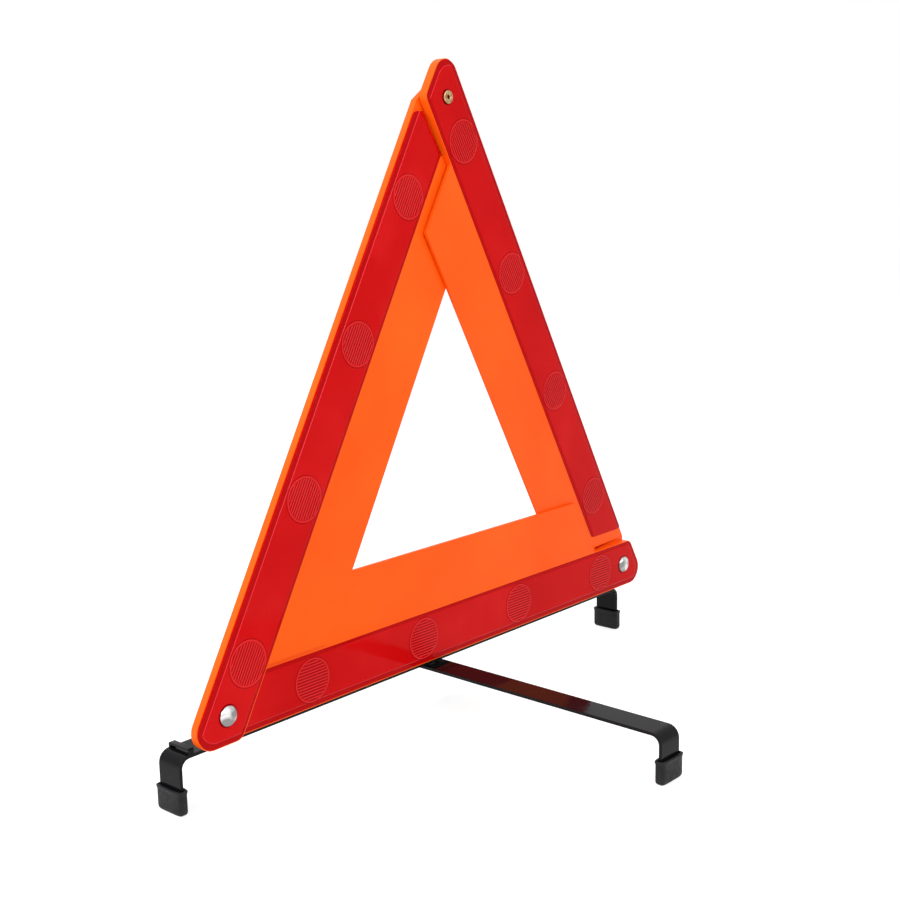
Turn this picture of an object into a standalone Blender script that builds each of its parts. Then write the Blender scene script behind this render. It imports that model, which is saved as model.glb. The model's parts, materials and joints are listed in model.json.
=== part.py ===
"""Folding roadside warning triangle on a flat-steel stand.

Three orange arms, each with a red reflector lens, overlap in a ring: every arm's head lies in front of
the next arm's tail. The base arm stands on a bent steel bar, the side arms turn on rivets at the two
lower corners and meet at a brass stud at the top, and a steel leg swivels under the bar.

Each arm is drawn in its own frame: u runs along its outer edge from head to tail, v runs inwards across
it and w runs from its front to its back. Lengths are in metres.
"""
import math

import bpy
import bmesh
from mathutils import Matrix, Vector

# Triangle: the side is measured between the sharp corners that the outer edges would meet at.
SIDE = 0.450
ARM_DEPTH = 0.0065
STRIP_WIDTH = 0.0340
ARM_WIDTH = 0.0756
CORNER_RADIUS = 0.0110
INNER_CORNER_RADIUS = 0.0065
LAP_STEP = 0.0050
LAP_GAP = 0.0008
END_GAP = 0.0020

# Moulded tray of an arm.
RIM_WALL = 0.0012
TRAY_FLOOR = 0.0018
LENS_SHELF = 0.0022
FLANGE_FRONT = 0.0010
FLANGE_THICKNESS = 0.0020
FLANGE_END_SETBACK = 0.0060
FLANGE_CORNER_RADIUS = 0.0010
BOSS_RADIUS = 0.0080
SCREW_BLOCK_WIDTH = 0.0080
SCREW_BLOCK_HEIGHT = 0.0100

# Reflector lens and its ribbed discs.
LENS_THICKNESS = 0.0024
LENS_RECESS = 0.0002
FIT = 0.0003
DISC_COUNT = 4
DISC_FIRST = 0.0598
DISC_LAST = 0.0977
DISC_RADIUS = 0.0135
DISC_RING = 0.0007
DISC_RELIEF = 0.00035
DISC_RIBS = 13
RIB_WIDTH = 0.0009
LEDGE_LEFT = 0.0012
LEDGE_BASE = 0.0012
LEDGE_RIGHT = 0.0085
LEFT_TIP_SETBACK = 0.0154308

# Corner rivets, their washers and the brass stud at the top.
SHANK_RADIUS = 0.0025
RUNNING_CLEARANCE = 0.0004
RIVET_HEAD_RADIUS = 0.0060
RIVET_HEAD_HEIGHT = 0.0022
RIVET_TAIL_RADIUS = 0.0042
RIVET_TAIL_HEIGHT = 0.0009
WASHER_RADIUS = 0.0070
WASHER_THICKNESS = 0.0010
STUD_FLANGE_RADIUS = 0.0041
STUD_FLANGE_HEIGHT = 0.0011
STUD_BORE_RADIUS = 0.0012
STUD_BORE_DEPTH = 0.0060
SEAT_REACH = 0.0400

# Stand.
STAND_HEIGHT = 0.0334
STRIP_STEEL_WIDTH = 0.0180
STEEL = 0.0020
BEND_RADIUS = 0.0070
BAR_HALF_LENGTH = 0.2080
BAR_OFFSET = -0.0170
BAR_SETBACK = 0.0024
STRAP_INSET = 0.0002
STRAP_CORNER_RADIUS = 0.0010
STRAP_HEIGHT = 0.0032
STRAP_THICKNESS = 0.0014
STRAP_LENGTH = 0.0036
LEG_LENGTH = 0.1900
LEG_ANGLE = math.radians(-0.7)
LEG_WASHER_RADIUS = 0.0075
LEG_WASHER_THICKNESS = 0.0006
PIVOT_RADIUS = 0.0028
PIVOT_HEAD_RADIUS = 0.0060
PIVOT_HEAD_HEIGHT = 0.0022
PIVOT_SUNK_RADIUS = 0.0046
SCREW_SPACING = 0.1200
SCREW_RADIUS = 0.0010
SCREW_HEAD_RADIUS = 0.0018
SCREW_LENGTH = 0.0080
SCREW_DEPTH = 0.0049

# Rubber caps on the three feet.
CAP_HEIGHT = 0.0130
CAP_SOLE = 0.0030
CAP_WALL = 0.0017
CAP_FACE = 0.0024
CAP_CORNER_RADIUS = 0.0032
CAP_EDGE = 0.0007

# Values that follow from the sizes above.
PIVOT_V = STRIP_WIDTH / 2
PIVOT_U = PIVOT_V / math.tan(math.radians(30))
LEAN = math.asin(LAP_STEP / (SIDE - 2 * PIVOT_U))
TAIL_START = SIDE - (STRIP_WIDTH + END_GAP) / math.sin(math.radians(60))
LEFT_LENS_TIP = TAIL_START - LEFT_TIP_SETBACK
DISC_PITCH = (SIDE - DISC_FIRST - DISC_LAST) / (DISC_COUNT - 1)
TONGUE_FRONT = ARM_DEPTH - LAP_STEP + LAP_GAP
LENS_SEAT = LENS_RECESS + LENS_THICKNESS + FIT
HOLE_RADIUS = SHANK_RADIUS + RUNNING_CLEARANCE
TONGUE_BACK = ARM_DEPTH + LAP_GAP + (ARM_DEPTH - TONGUE_FRONT)
SQRT3 = math.sqrt(3)
SUNK_RIM = 0.15
SUNK_NECK = 0.80
EDGE_OVERLAP = 0.0010
CUT_PAST = 0.0050
ARC_STEP = math.radians(15)
SEAT_ARC_STEPS = 8

COLLECTION_NAME = "warning_triangle"
CUTTER_COLLECTION_NAME = "cutters"


def clear_scene():
    for item in list(bpy.data.objects):
        bpy.data.objects.remove(item, do_unlink=True)


def new_collection(name):
    collection = bpy.data.collections.new(name)
    bpy.context.scene.collection.children.link(collection)
    return collection


def material(name, colour, roughness, metallic=0.0):
    made = bpy.data.materials.new(name)
    made.use_nodes = True
    shader = made.node_tree.nodes["Principled BSDF"]
    shader.inputs["Base Color"].default_value = (*colour, 1.0)
    shader.inputs["Roughness"].default_value = roughness
    shader.inputs["Metallic"].default_value = metallic
    return made


def rounded(corners):
    """Closed outline through (x, y, radius) corners, each corner cut by an arc of its radius."""
    outline = []
    count = len(corners)
    for index, (x, y, radius) in enumerate(corners):
        here = Vector((x, y))
        to_last = (Vector(corners[index - 1][:2]) - here).normalized()
        to_next = (Vector(corners[(index + 1) % count][:2]) - here).normalized()
        half = to_last.angle(to_next) / 2
        if radius <= 0 or half > math.radians(89):
            outline.append((x, y))
            continue
        centre = here + (to_last + to_next).normalized() * (radius / math.sin(half))
        start = here + to_last * (radius / math.tan(half)) - centre
        sweep = math.pi - 2 * half
        turn = 1 if to_last.x * to_next.y - to_last.y * to_next.x < 0 else -1
        steps = max(2, math.ceil(sweep / ARC_STEP))
        for step in range(steps + 1):
            angle = turn * sweep * step / steps
            spoke = Matrix.Rotation(angle, 2) @ start
            outline.append(tuple(centre + spoke))
    return outline


def circle(radius, sides=32, centre=(0.0, 0.0)):
    return [(centre[0] + radius * math.cos(2 * math.pi * k / sides),
             centre[1] + radius * math.sin(2 * math.pi * k / sides)) for k in range(sides)]


def plate(name, outlines, low, high, collection):
    """Flat piece filled between closed outlines in x and y, from height low to height high."""
    data = bpy.data.curves.new(name, "CURVE")
    data.dimensions = "2D"
    data.fill_mode = "BOTH"
    data.extrude = (high - low) / 2
    for outline in outlines:
        spline = data.splines.new("POLY")
        spline.points.add(len(outline) - 1)
        for point, (x, y) in zip(spline.points, outline):
            point.co = (x, y, 0.0, 1.0)
        spline.use_cyclic_u = True
    curve = bpy.data.objects.new(name + "_outline", data)
    collection.objects.link(curve)
    evaluated = curve.evaluated_get(bpy.context.evaluated_depsgraph_get())
    mesh = bpy.data.meshes.new_from_object(evaluated)
    bpy.data.objects.remove(curve, do_unlink=True)
    shape = bmesh.new()
    shape.from_mesh(mesh)
    bmesh.ops.remove_doubles(shape, verts=shape.verts, dist=1e-7)
    bmesh.ops.translate(shape, verts=shape.verts, vec=(0, 0, (low + high) / 2))
    bmesh.ops.recalc_face_normals(shape, faces=shape.faces)
    shape.to_mesh(mesh)
    shape.free()
    mesh.name = name
    piece = bpy.data.objects.new(name, mesh)
    collection.objects.link(piece)
    return piece


def turned(name, profile, collection, sides=32):
    """Solid of revolution about z from (radius, height) points that run from top to bottom."""
    mesh = bpy.data.meshes.new(name)
    points = [(radius, 0.0, height) for radius, height in profile]
    mesh.from_pydata(points, [(k, k + 1) for k in range(len(points) - 1)], [])
    piece = bpy.data.objects.new(name, mesh)
    collection.objects.link(piece)
    screw = piece.modifiers.new("turn", "SCREW")
    screw.axis = "Z"
    screw.angle = 2 * math.pi
    screw.steps = sides
    screw.render_steps = sides
    screw.use_merge_vertices = True
    screw.merge_threshold = 1e-6
    return piece


def boolean(target, tool, operation):
    modifier = target.modifiers.new(operation.lower() + "_" + tool.name, "BOOLEAN")
    modifier.operation = operation
    modifier.object = tool
    modifier.solver = "EXACT"
    tool.hide_render = True
    tool.display_type = "WIRE"
    tool.parent = target


def cut(target, *tools):
    for tool in tools:
        boolean(target, tool, "DIFFERENCE")


def join(target, *tools):
    for tool in tools:
        boolean(target, tool, "UNION")


def strip_outline(inset, ledge, tip=None):
    """Outline of the reflector strip, moved in by an inset; the tail end stands back by a ledge."""
    def head_line(v):
        return v / SQRT3 + inset * 2 / SQRT3

    def tail_line(v):
        return TAIL_START - ledge * 2 / SQRT3 - v / SQRT3

    low, high = inset, STRIP_WIDTH - inset
    corners = [(head_line(low), low, CORNER_RADIUS - inset)]
    if tip is None:
        corners.append((tail_line(low), low, 0.0))
    else:
        meet = low + (tail_line(0.0) - tip) * SQRT3 / 2 - low / 2
        corners.append((tip, low, 0.0))
        corners.append((tail_line(meet), meet, 0.0))
    corners.append((tail_line(high), high, 0.0))
    corners.append((head_line(high), high, max(INNER_CORNER_RADIUS - inset, 0.0)))
    return rounded(corners)


def tongue_outline():
    end = SIDE - PIVOT_U + PIVOT_V
    start = TAIL_START - STRIP_WIDTH / SQRT3 - STRIP_WIDTH / 2
    nearly_half = PIVOT_V - 1e-5
    return rounded([(start, 0.0, 0.0), (end, 0.0, nearly_half),
                    (end, STRIP_WIDTH, nearly_half), (start, STRIP_WIDTH, 0.0)])


def flange_outline():
    inner = STRIP_WIDTH - EDGE_OVERLAP
    set_back = (STRIP_WIDTH + FLANGE_END_SETBACK) * 2 / SQRT3
    return rounded([(inner / SQRT3 + set_back, inner, 0.0),
                    (TAIL_START - inner / SQRT3, inner, 0.0),
                    (TAIL_START - ARM_WIDTH / SQRT3, ARM_WIDTH, FLANGE_CORNER_RADIUS),
                    (ARM_WIDTH / SQRT3 + set_back, ARM_WIDTH, FLANGE_CORNER_RADIUS)])


def stud_seat_outline():
    """Open notch in the tail, round behind the stud, which leaves it sideways or along the arm."""
    arc = [Vector((-HOLE_RADIUS, 0.0))]
    for step in range(SEAT_ARC_STEPS):
        arc.append(Matrix.Rotation(ARC_STEP, 2) @ arc[-1])
    way = Vector((-arc[-1].y, arc[-1].x)).normalized()
    far = arc[-1] + way * SEAT_REACH
    corners = arc + [far, Vector((SEAT_REACH, SEAT_REACH)), Vector((-HOLE_RADIUS, SEAT_REACH))]
    centre = Vector((SIDE - PIVOT_U, PIVOT_V))
    return [tuple(centre + corner) for corner in corners]


def make_tray(arm, ledge, tip, tail_opening, paint):
    name = arm + "_arm_tray"
    tray = plate(name, [strip_outline(0.0, 0.0)], 0.0, ARM_DEPTH, PARTS)
    tongue = plate(name + "_tongue", [tongue_outline()], TONGUE_FRONT, ARM_DEPTH, CUTTERS)
    flange = plate(name + "_flange", [flange_outline()], FLANGE_FRONT,
                   FLANGE_FRONT + FLANGE_THICKNESS, CUTTERS)
    join(tray, tongue, flange)
    pocket = plate(name + "_pocket", [strip_outline(RIM_WALL, ledge, tip)],
                   -CUT_PAST, LENS_SEAT, CUTTERS)
    shelf_tip = None if tip is None else tip - LENS_SHELF
    inside = strip_outline(RIM_WALL + LENS_SHELF, ledge + LENS_SHELF, shelf_tip)
    hollow = plate(name + "_hollow", [inside], LENS_SEAT - EDGE_OVERLAP, ARM_DEPTH - TRAY_FLOOR, CUTTERS)
    cut(tray, pocket, hollow)
    boss = plate(name + "_boss", [circle(BOSS_RADIUS, centre=(PIVOT_U, PIVOT_V))],
                 LENS_SEAT, ARM_DEPTH - TRAY_FLOOR / 2, CUTTERS)
    join(tray, boss)
    head_hole = plate(name + "_head_hole", [circle(HOLE_RADIUS, 24, (PIVOT_U, PIVOT_V))],
                      -CUT_PAST, ARM_DEPTH + CUT_PAST, CUTTERS)
    tail_hole = plate(name + "_tail_hole", [tail_opening], -CUT_PAST, ARM_DEPTH + CUT_PAST, CUTTERS)
    cut(tray, head_hole, tail_hole)
    tray.data.materials.append(paint)
    return tray


def disc_outlines(place):
    """Outlines of one ribbed disc: a ring and the ribs inside it, which run along the arm."""
    u, v = place
    inner = DISC_RADIUS - DISC_RING
    outlines = [circle(DISC_RADIUS, 32, place), circle(inner, 32, place)]
    pitch = 2 * inner / (DISC_RIBS + 1)
    for k in range(DISC_RIBS):
        across = (k - (DISC_RIBS - 1) / 2) * pitch
        reach = math.sqrt(inner ** 2 - (abs(across) + RIB_WIDTH / 2) ** 2) - RIB_WIDTH
        outlines.append([(u - reach, v + across - RIB_WIDTH / 2), (u + reach, v + across - RIB_WIDTH / 2),
                         (u + reach, v + across + RIB_WIDTH / 2), (u - reach, v + across + RIB_WIDTH / 2)])
    return outlines


def make_lens(arm, ledge, tip, paint):
    name = arm + "_lens"
    lens_tip = None if tip is None else tip - FIT
    lens = plate(name, [strip_outline(RIM_WALL + FIT, ledge + FIT, lens_tip)],
                 LENS_RECESS, LENS_RECESS + LENS_THICKNESS, PARTS)
    outlines = []
    for k in range(DISC_COUNT):
        outlines += disc_outlines((DISC_FIRST + k * DISC_PITCH, PIVOT_V))
    relief = plate(name + "_relief", outlines, LENS_RECESS - DISC_RELIEF,
                   LENS_RECESS + LENS_THICKNESS / 2, CUTTERS)
    join(lens, relief)
    hole = plate(name + "_hole", [circle(HOLE_RADIUS, 24, (PIVOT_U, PIVOT_V))],
                 -CUT_PAST, ARM_DEPTH, CUTTERS)
    cut(lens, hole)
    lens.data.materials.append(paint)
    return lens


def arm_matrix(corner, turn, lean_angle):
    """Place of an arm: its head corner, its turn in the triangle's plane, and its lean head-forward."""
    axes = Matrix(((-1, 0, 0), (0, 0, 1), (0, 1, 0))).to_4x4()
    spin = Matrix.Rotation(turn, 4, "Y")
    middle = Vector((SIDE / 2, 0.0, ARM_DEPTH / 2))
    lean = Matrix.Translation(middle) @ Matrix.Rotation(-lean_angle, 4, "Y") @ Matrix.Translation(-middle)
    return Matrix.Translation(corner) @ spin @ axes @ lean


def hinge_empty(name, matrix, place, parent):
    """Empty on a joint's axis, with its z axis along it."""
    empty = bpy.data.objects.new(name, None)
    empty.empty_display_size = 0.02
    PARTS.objects.link(empty)
    empty.parent = parent
    empty.matrix_local = matrix @ Matrix.Translation(place)
    return empty


def hang(piece, parent, matrix):
    """Parent a piece, with its place given in the frame of the whole object."""
    chain = Matrix.Identity(4)
    node = parent
    while node is not FRAME:
        chain = node.matrix_local @ chain
        node = node.parent
    piece.parent = parent
    piece.matrix_local = chain.inverted() @ matrix


def make_corner_rivet(name, paint):
    """Domed head in front of the lens, shank through both arms, rolled tail behind the washer."""
    under_head = LENS_RECESS - FIT
    tail_front = TONGUE_BACK + FIT + WASHER_THICKNESS + FIT
    dome = [(RIVET_HEAD_RADIUS * math.sin(t), under_head - RIVET_HEAD_HEIGHT * math.cos(t))
            for t in (math.radians(d) for d in (90, 75, 60, 45, 30, 15, 0))]
    tail_back = tail_front + RIVET_TAIL_HEIGHT
    profile = [(0.0, tail_back), (RIVET_TAIL_RADIUS * 0.8, tail_back),
               (RIVET_TAIL_RADIUS, tail_front + RIVET_TAIL_HEIGHT / 2), (RIVET_TAIL_RADIUS, tail_front),
               (SHANK_RADIUS, tail_front), (SHANK_RADIUS, under_head)] + dome
    rivet = turned(name, profile, PARTS)
    rivet.data.materials.append(paint)
    return rivet


def make_washer(name, inner, outer, thickness, paint):
    washer = plate(name, [circle(outer), circle(inner)], 0.0, thickness, PARTS)
    washer.data.materials.append(paint)
    return washer


def make_stud(paint):
    """Hollow stud: a flange in front of the lens, a tube through the head, a flange behind the tail."""
    front = LENS_RECESS - FIT
    back = TONGUE_BACK + LAP_GAP / 2
    edge = STUD_FLANGE_HEIGHT * 0.4
    profile = [(0.0, back + STUD_FLANGE_HEIGHT), (STUD_FLANGE_RADIUS - edge, back + STUD_FLANGE_HEIGHT),
               (STUD_FLANGE_RADIUS, back + STUD_FLANGE_HEIGHT - edge), (STUD_FLANGE_RADIUS, back),
               (SHANK_RADIUS, back), (SHANK_RADIUS, front), (STUD_FLANGE_RADIUS, front),
               (STUD_FLANGE_RADIUS, front - STUD_FLANGE_HEIGHT + edge),
               (STUD_FLANGE_RADIUS - edge, front - STUD_FLANGE_HEIGHT),
               (STUD_BORE_RADIUS + edge, front - STUD_FLANGE_HEIGHT),
               (STUD_BORE_RADIUS, front - STUD_FLANGE_HEIGHT + edge),
               (STUD_BORE_RADIUS, front + STUD_BORE_DEPTH), (0.0, front + STUD_BORE_DEPTH)]
    stud = turned("apex_stud", profile, PARTS)
    stud.data.materials.append(paint)
    return stud


def bent_profile(start, end, top, foot, both_ends):
    """Side view of a flat strip whose end, or both ends, bend down into feet."""
    inner = BEND_RADIUS - STEEL
    right = [(end, top, BEND_RADIUS), (end, foot, 0.0), (end - STEEL, foot, 0.0),
             (end - STEEL, top - STEEL, inner)]
    if both_ends:
        left = [(start + STEEL, top - STEEL, inner), (start + STEEL, foot, 0.0), (start, foot, 0.0),
                (start, top, BEND_RADIUS)]
    else:
        left = [(start, top - STEEL, 0.0), (start, top, 0.0)]
    return rounded(right + left)


def stand_up(piece):
    """Turn a piece drawn in x and y so that its y runs up and its thickness lies along -y."""
    for vertex in piece.data.vertices:
        x, y, z = vertex.co
        vertex.co = (x, -z, y)


def make_bar(paint):
    half = STRIP_STEEL_WIDTH / 2
    top = STAND_HEIGHT - FIT
    side_view = bent_profile(-BAR_HALF_LENGTH, BAR_HALF_LENGTH, top, CAP_SOLE + FIT, True)
    bar = plate("stand_bar", [side_view], -half, half, PARTS)
    stand_up(bar)
    start = -BAR_HALF_LENGTH + BEND_RADIUS
    outer = half - STRAP_INSET
    inner = outer - STRAP_THICKNESS
    root = top - STEEL / 2
    crown = top + STRAP_HEIGHT
    arch = rounded([(-outer, root, 0.0), (-inner, root, 0.0), (-inner, crown - STRAP_THICKNESS, 0.0),
                    (inner, crown - STRAP_THICKNESS, 0.0), (inner, root, 0.0), (outer, root, 0.0),
                    (outer, crown, STRAP_CORNER_RADIUS), (-outer, crown, STRAP_CORNER_RADIUS)])
    strap = plate("stand_bar_strap", [arch], start, start + STRAP_LENGTH, CUTTERS)
    for vertex in strap.data.vertices:
        x, y, z = vertex.co
        vertex.co = (z, x, y)
    join(bar, strap)
    pivot_hole = turned("stand_bar_pivot_hole", sunk_hole_profile(PIVOT_RADIUS, PIVOT_SUNK_RADIUS), CUTTERS)
    cut(bar, pivot_hole)
    pivot_hole.matrix_local = Matrix.Translation((0.0, 0.0, top)) @ Matrix.Rotation(math.pi, 4, "X")
    bar.data.materials.append(paint)
    return bar


def sunk_hole_profile(shank, head):
    """Countersunk hole seen from below, with its face at z = 0 and running clearance all round."""
    return [(0.0, STEEL + CUT_PAST), (shank + FIT, STEEL + CUT_PAST), (shank + FIT, STEEL * SUNK_NECK),
            (head + FIT, STEEL * SUNK_RIM), (head + FIT, -CUT_PAST), (0.0, -CUT_PAST)]


def leg_levels():
    """Heights of the washer's and the leg's upper faces and of the pivot head's upper face."""
    bar_under = STAND_HEIGHT - FIT - STEEL
    washer_top = bar_under - FIT
    leg_top = washer_top - LEG_WASHER_THICKNESS - FIT
    return washer_top, leg_top, leg_top - STEEL - FIT


def make_leg(paint):
    half = STRIP_STEEL_WIDTH / 2
    leg_top = leg_levels()[1]
    leg = plate("stand_leg", [bent_profile(-half, LEG_LENGTH, leg_top, CAP_SOLE + FIT, False)],
                -half, half, PARTS)
    stand_up(leg)
    plan = rounded([(-half, -half, half - 1e-5), (LEG_LENGTH + half, -half, 0.0),
                    (LEG_LENGTH + half, half, 0.0), (-half, half, half - 1e-5)])
    boolean(leg, plate("stand_leg_plan", [plan], -CUT_PAST, STAND_HEIGHT, CUTTERS), "INTERSECT")
    cut(leg, plate("stand_leg_hole", [circle(PIVOT_RADIUS + FIT, 24)], leg_top - CUT_PAST,
                   leg_top + CUT_PAST, CUTTERS))
    leg.data.materials.append(paint)
    return leg


def make_leg_pivot(paint):
    top = STAND_HEIGHT - FIT - FIT / 2
    head_top = leg_levels()[2]
    dome = [(PIVOT_HEAD_RADIUS * math.sin(t), head_top - PIVOT_HEAD_HEIGHT * math.cos(t))
            for t in (math.radians(d) for d in (90, 70, 50, 30, 15, 0))]
    profile = [(0.0, top), (PIVOT_SUNK_RADIUS, top), (PIVOT_SUNK_RADIUS, top - STEEL * SUNK_RIM),
               (PIVOT_RADIUS, top - STEEL * SUNK_NECK), (PIVOT_RADIUS, head_top)] + dome
    pivot = turned("leg_pivot_rivet", profile, PARTS)
    pivot.data.materials.append(paint)
    return pivot


def make_cap(name, paint):
    """Rubber cap drawn with the strip's face along y and the foot at x = 0, sole on the floor."""
    half = STRIP_STEEL_WIDTH / 2 + FIT + CAP_WALL
    outline = rounded([(-half, 0.0, CAP_CORNER_RADIUS), (half, 0.0, CAP_CORNER_RADIUS),
                       (half, CAP_HEIGHT, CAP_EDGE), (-half, CAP_HEIGHT, CAP_EDGE)])
    cap = plate(name, [outline], -STEEL - FIT - CAP_FACE, FIT + CAP_FACE, PARTS)
    slot_half = STRIP_STEEL_WIDTH / 2 + FIT
    slot = plate(name + "_slot", [[(-slot_half, CAP_SOLE), (slot_half, CAP_SOLE),
                                   (slot_half, CAP_HEIGHT + CUT_PAST), (-slot_half, CAP_HEIGHT + CUT_PAST)]],
                 -STEEL - FIT, FIT, CUTTERS)
    for piece in (cap, slot):
        for vertex in piece.data.vertices:
            x, y, z = vertex.co
            vertex.co = (z, x, y)
    edge = cap.modifiers.new("soft_edges", "BEVEL")
    edge.width = CAP_EDGE
    edge.segments = 2
    edge.limit_method = "ANGLE"
    edge.angle_limit = math.radians(50)
    cut(cap, slot)
    cap.data.materials.append(paint)
    return cap


def make_screw(name, paint):
    """Countersunk screw driven up from below, its head flush under the bar."""
    profile = [(0.0, SCREW_LENGTH), (SCREW_RADIUS * 0.6, SCREW_LENGTH),
               (SCREW_RADIUS, SCREW_LENGTH - SCREW_RADIUS), (SCREW_RADIUS, STEEL * SUNK_NECK),
               (SCREW_HEAD_RADIUS, STEEL * SUNK_RIM), (SCREW_HEAD_RADIUS, 0.0), (0.0, 0.0)]
    screw = turned(name, profile, PARTS, 20)
    screw.data.materials.append(paint)
    return screw


def screw_place(base_place, side):
    """Point on the base arm's outer edge above a stand screw."""
    return base_place @ Vector((SIDE / 2 - BAR_OFFSET + side * SCREW_SPACING, 0.0, SCREW_DEPTH))


def add_screw_blocks(tray, side):
    """Solid block behind the lens, with a blind hole for a stand screw."""
    u = SIDE / 2 - BAR_OFFSET + side * SCREW_SPACING
    half = SCREW_BLOCK_WIDTH / 2
    label = "left" if side > 0 else "right"
    block = plate("screw_block_" + label, [[(u - half, RIM_WALL / 2), (u + half, RIM_WALL / 2),
                                            (u + half, SCREW_BLOCK_HEIGHT), (u - half, SCREW_BLOCK_HEIGHT)]],
                  LENS_SEAT, ARM_DEPTH - TRAY_FLOOR / 2, CUTTERS)
    join(tray, block)
    reach = SCREW_LENGTH - STEEL
    hole = plate("screw_hole_" + label, [circle(SCREW_RADIUS + FIT / 2, 16)], -CUT_PAST, reach, CUTTERS)
    turn = Matrix.Rotation(-math.pi / 2, 4, "X")
    hole.data.transform(Matrix.Translation((u, 0.0, SCREW_DEPTH)) @ turn)
    cut(tray, hole)


def corner_places():
    height = SIDE * SQRT3 / 2
    lift = STAND_HEIGHT
    return {"base": (Vector((SIDE / 2, 0.0, lift)), 0.0),
            "right": (Vector((0.0, 0.0, lift + height)), math.radians(-120)),
            "left": (Vector((-SIDE / 2, 0.0, lift)), math.radians(-240))}


def arm_places():
    """Places of the arms, turned together so that the base arm runs straight along x."""
    corners = corner_places()
    leaning = {arm: arm_matrix(*place, LEAN) for arm, place in corners.items()}
    level = arm_matrix(*corners["base"], 0.0) @ leaning["base"].inverted()
    return {arm: level @ place for arm, place in leaning.items()}


def settle(frame, pieces):
    """Move the whole object so that its box stands on the floor, centred on the origin."""
    bpy.context.view_layer.update()
    depsgraph = bpy.context.evaluated_depsgraph_get()
    corners = []
    for piece in pieces:
        shown = piece.evaluated_get(depsgraph)
        corners += [shown.matrix_world @ vertex.co for vertex in shown.data.vertices]
    low = Vector([min(corner[k] for corner in corners) for k in range(3)])
    high = Vector([max(corner[k] for corner in corners) for k in range(3)])
    frame.location -= Vector(((low.x + high.x) / 2, (low.y + high.y) / 2, low.z))


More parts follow.
